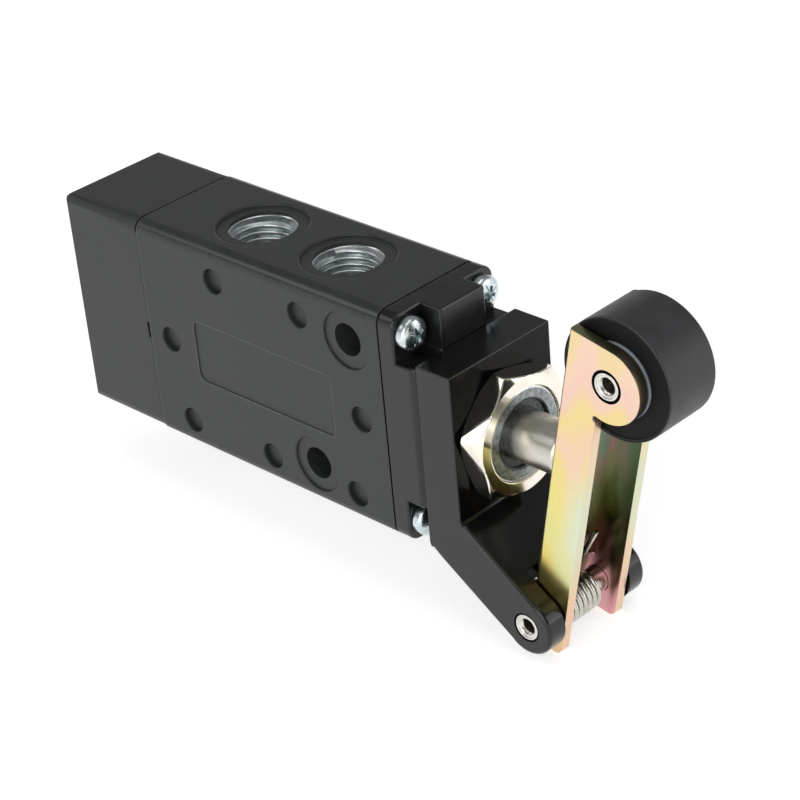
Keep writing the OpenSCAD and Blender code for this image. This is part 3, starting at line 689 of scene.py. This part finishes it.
def makeInsert():
    s = insertSizes
    lo, hi = boxOf("port_insert_2")
    outerR = (hi.x - lo.x) / 2
    half = (hi.z - lo.z) / 2
    wallR, boreR = s["majorD"] / 2, s["boreD"] / 2
    outline = [(outerR, -half), (outerR, half), (wallR + s["leadIn"], half), (wallR, half - s["leadIn"]),
               (wallR, -half), (outerR, -half)]
    sleeve = turned("sleeve", outline, s["sides"])
    # the thread's section is a plane with its inner side narrowed, wound up inside the sleeve
    depth = wallR - boreR + s["sink"]
    base = s["pitch"] - s["root"]
    turns = int((2 * half - s["leadIn"] - base) / s["pitch"])
    first = half - s["leadIn"] - base / 2 - turns * s["pitch"]
    bpy.ops.object.select_all(action="DESELECT")
    bpy.ops.mesh.primitive_plane_add(size=1)
    ridge = bpy.context.object
    ridge.scale = (depth * mm, base * mm, 1)
    ridge.rotation_euler = (math.pi / 2, 0, 0)
    ridge.location = ((boreR + depth / 2) * mm, 0, first * mm)
    bpy.ops.object.transform_apply(location=True, rotation=True, scale=True)
    pickPoints(ridge, lambda p: p.x < boreR + depth / 2)
    bpy.ops.transform.resize(value=(1, 1, s["crest"] / base), center_override=(0, 0, first * mm))
    bpy.ops.mesh.bevel(offset=s["crestR"] * mm, segments=3, affect="VERTICES")
    bpy.ops.mesh.select_all(action="SELECT")
    bpy.ops.mesh.delete(type="ONLY_FACE")
    done()
    wind = ridge.modifiers.new("wind", "SCREW")
    wind.axis = "Z"
    wind.angle = 2 * math.pi
    wind.screw_offset = s["pitch"] * mm
    wind.iterations = turns
    wind.steps = wind.render_steps = s["steps"]
    applyAll(ridge)
    outward(ridge)
    editing(ridge, "EDGE")
    bpy.ops.mesh.select_all(action="SELECT")
    bpy.ops.mesh.fill_holes(sides=s["endSides"])
    done()
    outward(ridge)
    carve(sleeve, ridge, "UNION")
    return sleeve


def makeInserts():
    first = makeInsert()
    for port in range(1, 6):
        node = f"port_insert_{port}"
        lo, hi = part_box(node)
        above = lo.z > insertSizes["aboveZ"] * mm
        piece = twin(first, f"threadedInsert{port}")
        settle(piece, (lo + hi) / 2, (0, 0 if above else 180, insertSizes["turnEach"] * port))
        smooth(piece, angle=28)
        dress(piece, metals["insert"], "valve_body", "insert_zinc", node)
    bpy.data.objects.remove(first)


makeInserts()
print("inserts done")


# Guide bush and lock nut

bushSizes = {"edge": 0.5, "faceDepth": 1, "faceR": 7}


def makeBush():
    s = bushSizes
    lo, hi = boxOf("guide_bush")
    piece = copyOf("guide_bush", "guideBushTurned")

    def fromAxis(p):
        return Vector((p.y, p.z - (lo.z + hi.z) / 2)).length

    softenEdges(piece, s["edge"], 3, lambda p: p.x > hi.x - near)
    smooth(piece)
    dress(piece, metals["bush"], "valve_body", "bush_zinc", "guide_bush")
    # the outer chamfer gets a painted highlight, and the recess round the plunger painted shade
    addLooks(piece, metals["bushHighlight"], metals["bushRecessShade"])
    for face in piece.data.polygons:
        middle = face.center / mm
        atFace, away = middle.x > hi.x - s["faceDepth"], fromAxis(middle)
        if atFace and away > s["faceR"] and 0.1 < face.normal.x < 0.98:
            face.material_index = 1
        elif atFace and away < s["faceR"] and middle.x < hi.x - near:
            face.material_index = 2


nutSizes = {"edge": 0.22}


def makeNut():
    piece = copyOf("lock_nut", "lockNutPlated")
    softenEdges(piece, nutSizes["edge"], 3, lambda p: True, sharp=40)
    smooth(piece, angle=20)
    dress(piece, metals["nut"], "valve_body", "nut_nickel", "lock_nut")


makeBush()
makeNut()
print("bush and nut done")


# Plunger, pins and roller

plungerSizes = {"edge": 0.3}


def makePlunger():
    piece = copyOf("plunger", "plungerGround")
    softenEdges(piece, plungerSizes["edge"], 3, lambda p: True)
    smooth(piece)
    dress(piece, metals["steel"], "plunger", "steel", "plunger")


pinSizes = {"boreD": 2.7, "flare": 0.35, "step": 0.2, "cone": 0.6, "edge": 0.14, "sides": 48}


# A closed outline from its upper half, the lower one mirrored
def bothEnds(upper):
    return upper + [(r, -h) for r, h in reversed(upper)] + [upper[0]]


def makePin(node, name, body):
    s = pinSizes
    lo, hi = boxOf(node)
    radius, half = (hi.x - lo.x) / 2, (hi.y - lo.y) / 2
    bore = s["boreD"] / 2
    wide, step = bore + s["flare"], half - s["step"]
    ring = (radius + wide) / 2
    upper = [(radius, half), (ring, half), (ring, step), (wide, step), (bore, step - s["cone"])]
    piece = turned(name, bothEnds(upper), s["sides"], s["edge"])
    settle(piece, (lo + hi) / 2 * mm, (90, 0, 0))
    smooth(piece)
    dress(piece, metals["pin"], body, "steel", node)


hubSizes = {"boreD": 5.1, "edge": 0.3, "sides": 72}
tyreSizes = {"edge": 0.4, "lip": 0.4, "dish": 0.3, "rim": 0.12, "sides": 96}


def makeRoller():
    s = hubSizes
    lo, hi = boxOf("roller_hub")
    hubR, half, bore = (hi.z - lo.z) / 2, (hi.y - lo.y) / 2, s["boreD"] / 2
    outline = [(hubR, -half), (hubR, half), (bore, half), (bore, -half), (hubR, -half)]
    hub = turned("rollerHubMoulded", outline, s["sides"], s["edge"])
    settle(hub, rollerAxis, (90, 0, 0))
    smooth(hub)
    dress(hub, plastics["hub"], "roller", "hub_grey", "roller_hub")

    s = tyreSizes
    lo, hi = boxOf("roller_tyre")
    outer, half = (hi.z - lo.z) / 2, (hi.y - lo.y) / 2
    edge, rim = s["edge"], s["rim"]
    dishR, floor = outer - s["lip"] - edge / 2, half - s["dish"]
    upper = arcPoints((outer - edge, half - edge), edge, 0, 90)
    upper += [(dishR + rim, half), (dishR, half - rim), (dishR, floor), (hubR, floor)]
    tyre = turned("rollerTyreMoulded", bothEnds(upper), s["sides"])
    settle(tyre, rollerAxis, (90, 0, 0))
    smooth(tyre)
    dress(tyre, plastics["paintedLitTread"], "roller", "tyre_black", "roller_tyre")
    # the sides get the darker rubber as painted shade, the tread keeps the lighter one as painted light
    addLooks(tyre, plastics["paintedShadeTyreSide"])
    for face in tyre.data.polygons:
        if abs(face.normal.y) > 0.9:
            face.material_index = 1


makePlunger()
makePin("pivot_pin", "pivotPinSwaged", "valve_body")
makePin("roller_pin", "rollerPinSwaged", "lever")
makeRoller()
print("plunger, pins and roller done")


# Lever: pressed sheet with an iridescent yellow plating

leverSizes = {"edge": 0.18, "tilt": 11.5, "inside": 6.35, "foot": -6, "length": 62, "frontBand": 5,
              "earStart": 46.5, "sinkR": 3.3, "skin": 0.1}
tilt = math.radians(leverSizes["tilt"])
up = Vector((math.sin(tilt), 0, math.cos(tilt)))  # along the lever at rest
platingGrain = {"speckle": 0.5, "wear": 6, "ripple": 0.9}


# Coordinates from the pivot: X forward, Z up along the lever
def leverCoordinates(tree, stretch=(1, 1, 1)):
    ahead = pivot.x * math.cos(tilt) - pivot.z * math.sin(tilt)
    place = (-ahead, 0, -pivot.dot(up))
    straight = coordinates(tree, (0, -leverSizes["tilt"], 0), (1, 1, 1), place)
    mapping = put(tree, "ShaderNodeMapping", {"Scale": stretch})
    tree.links.new(straight, mapping.inputs["Vector"])
    return mapping.outputs["Vector"]


def yellowZinc(name, look):
    material, tree, shader = newMaterial(name, Metallic=1.0)
    along = leverCoordinates(tree)
    streaks = leverCoordinates(tree, look["stretch"])
    split = put(tree, "ShaderNodeSeparateXYZ")
    tree.links.new(along, split.inputs[0])
    rise = put(tree, "ShaderNodeMapRange", {
        "From Min": leverSizes["foot"] * mm, "From Max": leverSizes["length"] * mm})
    tree.links.new(split.outputs["Z"], rise.inputs["Value"])
    drift = put(tree, "ShaderNodeMapRange", {
        "From Min": 0.25, "From Max": 0.75, "To Min": -look["drift"], "To Max": look["drift"]})
    tree.links.new(grain(tree, streaks, look["streak"], detail=0), drift.inputs["Value"])
    shade = put(tree, "ShaderNodeMath", operation="ADD")
    tree.links.new(rise.outputs[0], shade.inputs[0])
    tree.links.new(drift.outputs[0], shade.inputs[1])
    film = ramp(tree, shade.outputs[0], *look["bands"], interpolation="EASE")
    # a second tint gathers at the front edge, part of the way up
    ahead = put(tree, "ShaderNodeMapRange", {"From Min": 0.0, "From Max": leverSizes["frontBand"] * mm})
    tree.links.new(split.outputs["X"], ahead.inputs["Value"])
    where = ramp(tree, rise.outputs[0], *look["where"])
    share = put(tree, "ShaderNodeMath", operation="MULTIPLY")
    tree.links.new(ahead.outputs[0], share.inputs[0])
    tree.links.new(where, share.inputs[1])
    film = mixColour(tree, share.outputs[0], film, tone(look["front"]))
    speckle = ramp(tree, grain(tree, along, platingGrain["speckle"]), (0.3, "#f0eeea"), (0.6, "#f5f3ef"))
    tree.links.new(mixColour(tree, 1.0, film, speckle, "MULTIPLY"), shader.inputs["Base Color"])
    wear = grain(tree, along, platingGrain["wear"], detail=2)
    tree.links.new(ramp(tree, wear, (0.3, look["gloss"][0]), (0.75, look["gloss"][1])),
                   shader.inputs["Roughness"])
    bump(tree, shader, grain(tree, along, platingGrain["ripple"], detail=2), look["depth"])
    return material


frontTint = [(0.2, 0.0), (0.36, 1.0), (0.48, 1.0), (0.62, 0.0)]
leverLooks = {
    "outer": dict(streak=8, drift=0.15, stretch=(1, 1, 0.3), gloss=(0.2, 0.25), depth=0.0002,
                  front="#dcebd6", where=frontTint, bands=[
        (0.0, "#f0cfa6"), (0.14, "#ecd27c"), (0.24, "#eedd82"), (0.34, "#e6e39c"), (0.46, "#efe493"),
        (0.57, "#f4e09a"), (0.66, "#f6d6ba"), (0.75, "#f4de9e"), (0.85, "#f6d3c4"), (0.94, "#f8d8c2"),
        (1.0, "#f3dcae")]),
    # the inner faces: the plating's hues made darker as painted shade inside the channel, with a brown band
    # low down as a painted dark reflection near the pin's boss
    "inner": dict(streak=3, drift=0.13, stretch=(1, 1, 0.05), gloss=(0.26, 0.34), depth=0.0002,
                  front="#9fd0b0", where=[(0.3, 0.0), (0.5, 0.9), (0.72, 0.9), (0.79, 0.0)], bands=[
        (0.0, "#e8b0b4"), (0.07, "#dca2a8"), (0.16, "#7a5c4c"), (0.28, "#74784c"), (0.42, "#a6ae90"),
        (0.54, "#c6a9a8"), (0.64, "#a4b4b0"), (0.73, "#c0a2b8"), (0.8, "#a79db4"), (0.9, "#b79f86"),
        (1.0, "#98a27c")]),
    "edge": dict(streak=8, drift=0.16, stretch=(1, 1, 0.6), gloss=(0.26, 0.42), depth=0.002,
                 front="#e2e6cc", where=frontTint, bands=[
        (0.0, "#f2d0b2"), (0.25, "#f3d2b6"), (0.5, "#efe0b8"), (0.75, "#f2d8bc"), (1.0, "#ecccae")]),
}


def makeLever():
    s = leverSizes
    side = boxOf("lever")[1].y - s["skin"]
    piece = copyOf("lever", "leverPressed")
    softenEdges(piece, s["edge"], 2, lambda p: True, sharp=40)
    smooth(piece)
    plating = [yellowZinc(name + "YellowZinc", look) for name, look in leverLooks.items()]
    dress(piece, plating[0], "lever", "lever_yellow_zinc", "lever")
    # inner faces in a darker plating that paints the shade inside the channel, cut edges (those on the ear
    # darkened the same way as painted shade), and the gap round the roller pin darkened as painted shade
    addLooks(piece, *plating[1:], plastics["slot"])
    for face in piece.data.polygons:
        middle, normal = face.center / mm, face.normal
        fromPin = Vector((middle.x - rollerAxis.x / mm, middle.z - rollerAxis.z / mm)).length
        onEar = (face.center - pivot).dot(up) / mm > s["earStart"]
        cut, belowSkin = abs(normal.y) < 0.7, abs(middle.y) < side
        if fromPin < s["sinkR"] and (cut or belowSkin):
            face.material_index = 3
        elif abs(middle.y) < s["inside"]:
            face.material_index = 1 if abs(normal.y) > 0.7 or normal.x > 0.5 else 0
        elif cut and belowSkin:
            face.material_index = 1 if onEar else 2


makeLever()
print("lever done")


# Torsion spring: wound as a coil, with its two arms drawn straight out of the coil's ends

springSizes = {"wire": 1.1, "coilD": 7.0, "startY": -5.2, "endY": 3.2, "turns": 7, "legAngle": 33.5,
               "lowerArm": 10.3, "webLean": (0.05, 11.8), "reach": 13.0, "armEdge": 0.12, "sides": 14,
               "stepsPerTurn": 36, "paintedShadeFrom": 1}


def makeTorsionSpring():
    s = springSizes
    radius, wire = s["coilD"] / 2, s["wire"] / 2
    leanX, leanZ = s["webLean"]
    far = math.hypot(leanX, leanZ)
    # where the upper arm leaves the coil, and how long it is to reach through the lever's web
    leave = math.atan2(leanX, leanZ) - math.acos(radius / far)
    sweep = leverSizes["tilt"] + math.degrees(leave) - s["legAngle"] + 360 * s["turns"]
    height = radius * math.cos(leave)
    upperArm = math.sqrt(far ** 2 - radius ** 2) * (s["reach"] - height) / (leanZ - height)
    bpy.ops.object.select_all(action="DESELECT")
    bpy.ops.mesh.primitive_circle_add(vertices=s["sides"], radius=wire * mm, rotation=(0, math.pi / 2, 0),
                                      location=(0, s["startY"] * mm, radius * mm))
    piece = bpy.context.object
    piece.name = "torsionSpringWound"
    bpy.ops.object.transform_apply(location=True, rotation=True, scale=True)
    wind = piece.modifiers.new("wind", "SCREW")
    wind.axis = "Y"
    wind.angle = math.radians(sweep)
    wind.screw_offset = (s["endY"] - s["startY"]) * mm
    wind.iterations = 1
    wind.steps = wind.render_steps = s["turns"] * s["stepsPerTurn"]
    applyAll(piece)
    start = Vector((0, s["startY"], radius))
    turn = math.radians(sweep)
    end = Vector((radius * math.sin(turn), s["endY"], radius * math.cos(turn)))
    ahead = Vector((math.cos(turn), 0, -math.sin(turn)))
    for middle, way, length in ((start, Vector((-1, 0, 0)), s["lowerArm"]), (end, ahead, upperArm)):
        pickPoints(piece, lambda p: (p - middle).length < wire + near
                   and abs((p - middle).dot(way)) < near / 2)
        for share in (0.5, 0.5):
            move = way * length * share * mm
            bpy.ops.mesh.extrude_region_move(TRANSFORM_OT_translate={"value": move})
        bpy.ops.mesh.edge_face_add()
        bpy.ops.mesh.bevel(offset=s["armEdge"] * mm, segments=2, affect="EDGES")
        done()
    settle(piece, pivot, (0, s["legAngle"], 0))
    outward(piece)
    smooth(piece, angle=40)
    # the lower arm's end is darkened as painted shade where it sits in the fork
    addLooks(piece, metals["spring"], plastics["slot"])
    for face in piece.data.polygons:
        behind = (face.center.x - pivot.x) / mm
        away = math.hypot(behind, (face.center.z - pivot.z) / mm)
        if behind < -s["paintedShadeFrom"] and away > radius + s["wire"]:
            face.material_index = 1
    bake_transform(piece)
    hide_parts("torsion_spring")


def makeReturnSpring():
    piece = copyOf("return_spring", "returnSpringWound")
    smooth(piece, angle=60)
    dress(piece, metals["spring"], "valve_body", "spring_steel", "return_spring")
    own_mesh(piece)


makeTorsionSpring()
makeReturnSpring()
print("springs done")


# Inner pieces keep their CAD shape

innerFinishes = {"spool_seal": plastics["seal"], "seal_spacer": plastics["spacer"],
                 "wiper_seal": plastics["seal"], "spool": metals["spool"], "spring_cup": plastics["cup"]}
for node in nodes:
    finish = innerFinishes.get(node) or innerFinishes.get(node.rsplit("_", 1)[0])
    if finish:
        for place in nodes[node].material_slots:
            place.material = finish
print("inner pieces done")


# Stage: white floor that keeps a faint shadow, soft lights and the camera

stageSizes = {"floorGap": 0.2, "floorSize": 4000, "floorTone": 0.8, "floorGlow": 0.63, "sky": 0.24,
              "backdrop": (0.2, 0.3)}
lampSizes = [
    dict(name="keyLight", place=(280, -700, 330), size=600, power=2.6),
    dict(name="topLight", place=(150, 0, 800), size=600, power=1.2),
    dict(name="edgeLight", place=(720, 480, 260), size=420, power=0.8),
    dict(name="leftLight", place=(-480, -420, 480), size=260, power=0.4),
]
cameraSizes = {"place": (289.217, -265.888, 231.977), "turn": (60.068, 4.591, 43.765), "lens": 109.4,
               "nearest": 10}


def makeFloor():
    bpy.ops.object.select_all(action="DESELECT")
    height = cadBox[0].z - stageSizes["floorGap"] * mm
    bpy.ops.mesh.primitive_plane_add(size=stageSizes["floorSize"] * mm, location=(0, 0, height))
    floor = bpy.context.object
    floor.name = "studioFloor"
    bpy.ops.object.transform_apply(location=True, rotation=True, scale=True)
    material = bpy.data.materials.new("floorWhite")
    material.use_nodes = True
    tree = material.node_tree
    tree.nodes.clear()
    matt = put(tree, "ShaderNodeBsdfDiffuse", {"Color": [stageSizes["floorTone"]] * 3 + [1]})
    glow = put(tree, "ShaderNodeEmission", {"Strength": stageSizes["floorGlow"]})
    both = put(tree, "ShaderNodeAddShader")
    tree.links.new(matt.outputs[0], both.inputs[0])
    tree.links.new(glow.outputs[0], both.inputs[1])
    seen = put(tree, "ShaderNodeMixShader")
    tree.links.new(directRays(tree), seen.inputs[0])
    tree.links.new(matt.outputs[0], seen.inputs[1])
    tree.links.new(both.outputs[0], seen.inputs[2])
    out = put(tree, "ShaderNodeOutputMaterial")
    tree.links.new(seen.outputs[0], out.inputs[0])
    floor.data.materials.append(material)


# One for rays that show the background: camera, glossy and transmission
def directRays(tree):
    path = put(tree, "ShaderNodeLightPath")
    total = path.outputs["Is Camera Ray"]
    for ray in ("Is Glossy Ray", "Is Transmission Ray"):
        joint = put(tree, "ShaderNodeMath", operation="MAXIMUM")
        tree.links.new(total, joint.inputs[0])
        tree.links.new(path.outputs[ray], joint.inputs[1])
        total = joint.outputs[0]
    return total


# The world is white low down, as a backdrop, and darker above
def makeWorld():
    world = bpy.data.worlds.new("studio")
    bpy.context.scene.world = world
    world.use_nodes = True
    tree = world.node_tree
    split = put(tree, "ShaderNodeSeparateXYZ")
    tree.links.new(put(tree, "ShaderNodeTexCoord").outputs["Generated"], split.inputs[0])
    low, high = stageSizes["backdrop"]
    shade = ramp(tree, split.outputs["Z"], (low, 1.0), (high, stageSizes["sky"]))
    tree.links.new(shade, tree.nodes["Background"].inputs["Color"])


def makeLights():
    target = (cadBox[0] + cadBox[1]) / 2
    for lamp in lampSizes:
        place = Vector(lamp["place"]) * mm
        bpy.ops.object.light_add(type="AREA", location=place)
        light = bpy.context.object
        light.name = lamp["name"]
        light.data.size = lamp["size"] * mm
        light.data.energy = lamp["power"]
        light.rotation_euler = (target - place).to_track_quat("-Z", "Y").to_euler()


def makeCamera():
    bpy.ops.object.camera_add(location=Vector(cameraSizes["place"]) * mm,
                              rotation=[math.radians(a) for a in cameraSizes["turn"]])
    camera = bpy.context.object
    camera.data.lens = cameraSizes["lens"]
    camera.data.clip_start = cameraSizes["nearest"] * mm
    bpy.context.scene.camera = camera


makeFloor()
makeWorld()
makeLights()
makeCamera()
bpy.context.scene.view_settings.view_transform = "Standard"
print("stage done")
